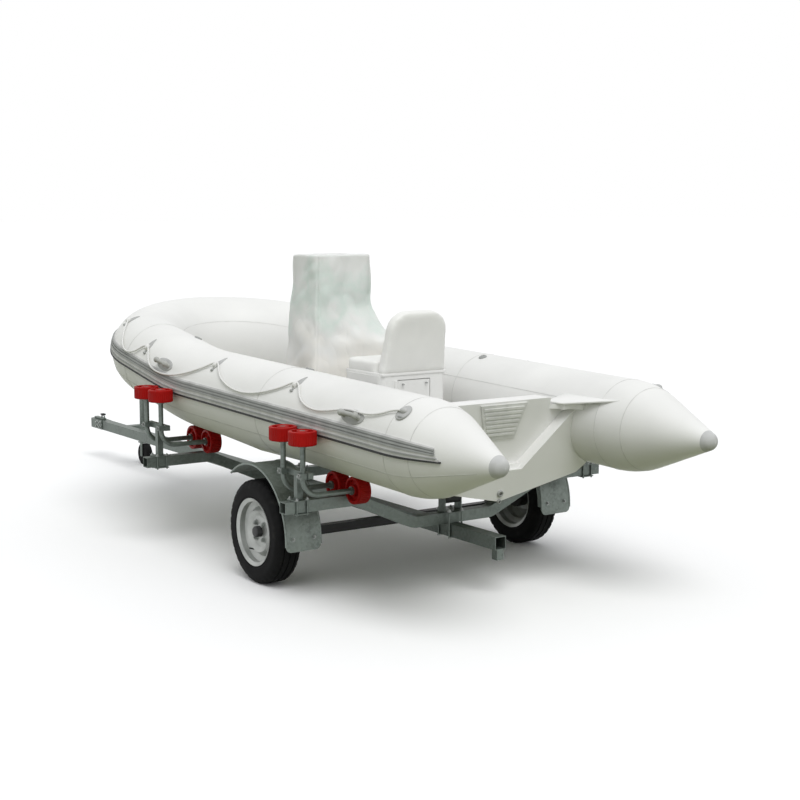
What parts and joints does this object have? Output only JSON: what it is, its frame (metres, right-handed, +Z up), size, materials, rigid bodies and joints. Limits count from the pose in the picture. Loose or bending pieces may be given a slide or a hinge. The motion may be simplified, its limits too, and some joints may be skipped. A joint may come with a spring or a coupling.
{
  "type": "rigid inflatable boat on its single-axle roller trailer",
  "caption": "White rigid inflatable boat with a wrapped console and a helm seat, on a galvanised roller trailer.",
  "frame": {"origin": "on the ground under the middle of the set's box, tyres and jockey wheel resting on Z = 0", "axes": "+X forward towards the bow and the coupling, +Y to port, +Z up"},
  "size_m": [6.2032, 2.0942, 1.725],
  "materials": {
    "hull_tube": "off-white coated fabric, satin",
    "grey_rubber": "mid grey moulded rubber",
    "gelcoat": "white gelcoat",
    "deck_grip": "light grey non-slip gelcoat",
    "pad_plastic": "ribbed white plastic",
    "dark_plastic": "black fitting",
    "clear_screen": "clear acrylic",
    "milky_film": "crinkled milky packing film",
    "seat_vinyl": "white marine vinyl",
    "rope": "white braided rope",
    "galvanised": "hot-dip galvanised",
    "axle_paint": "black paint",
    "tyre_rubber": "black tyre",
    "rim_silver": "silver paint",
    "hub_iron": "grey paint",
    "red_roller": "red ribbed rubber",
    "jockey_rubber": "black solid rubber"
  },
  "bodies": {
    "boat_on_trailer": {"tube_port": "hull_tube", "tube_starboard": "hull_tube", "tube_bow": "hull_tube", "cone_port": "hull_tube", "cone_starboard": "hull_tube", "cone_caps": "grey_rubber", "rope_holders": "grey_rubber", "carry_handles": "grey_rubber", "rub_strake": "grey_rubber", "hull_bottom": "gelcoat", "bow_moulding": "gelcoat", "transom": "gelcoat", "stern_ledges": "gelcoat", "console_pod": "gelcoat", "seat_box": "gelcoat", "deck": "deck_grip", "motor_pad": "pad_plastic", "drain_plug": "dark_plastic", "console_screen": "clear_screen", "console_film": "milky_film", "seat_cushion": "seat_vinyl", "seat_backrest": "seat_vinyl", "lifeline_port": "rope", "lifeline_starboard": "rope", "spine": "galvanised", "rear_beam": "galvanised", "front_beam": "galvanised", "guard_stays": "galvanised", "mudguard_port": "galvanised", "mudguard_starboard": "galvanised", "tail_bracket": "galvanised", "keel_bracket": "galvanised", "cradle_posts": "galvanised", "cradle_arms": "galvanised", "jockey_clamp": "galvanised", "coupling_head": "galvanised", "coupling_lever": "galvanised", "axle_tube": "axle_paint", "axle_arms": "axle_paint", "keel_roller": "red_roller", "side_rollers": "red_roller", "bottom_rollers": "red_roller"},
    "wheel_port": {"tyre_port": "tyre_rubber", "rim_port": "rim_silver", "hub_port": "hub_iron"},
    "wheel_starboard": {"tyre_starboard": "tyre_rubber", "rim_starboard": "rim_silver", "hub_starboard": "hub_iron"},
    "jockey_leg": {"jockey_stem": "galvanised"},
    "jockey_caster": {"jockey_fork": "galvanised"},
    "jockey_tyre": {"jockey_wheel": "jockey_rubber"},
    "locker_lid": {"locker_door": "gelcoat"}
  },
  "joints": [
    {"name": "wheel_port_spin", "type": "hinge", "parent": "boat_on_trailer", "child": "wheel_port", "pos_m": [-1.30339, 0.869, 0.28], "axis": [0, 1, 0], "continuous": true},
    {"name": "wheel_starboard_spin", "type": "hinge", "parent": "boat_on_trailer", "child": "wheel_starboard", "pos_m": [-1.30339, -0.869, 0.28], "axis": [0, 1, 0], "continuous": true},
    {"name": "jack", "type": "slide", "parent": "boat_on_trailer", "child": "jockey_leg", "axis": [0, 0, 1], "range_m": [0, 0.08]},
    {"name": "jockey_swivel", "type": "hinge", "parent": "jockey_leg", "child": "jockey_caster", "pos_m": [2.51661, -0.16, 0.175], "axis": [0, 0, 1], "continuous": true},
    {"name": "jockey_spin", "type": "hinge", "parent": "jockey_caster", "child": "jockey_tyre", "pos_m": [2.48661, -0.16, 0.08], "axis": [0, 1, 0], "continuous": true},
    {"name": "locker_hinge", "type": "hinge", "parent": "boat_on_trailer", "child": "locker_lid", "pos_m": [-1.45639, 0.1075, 0.965], "axis": [0, 0, -1], "range_deg": [0, 100]}
  ]
}
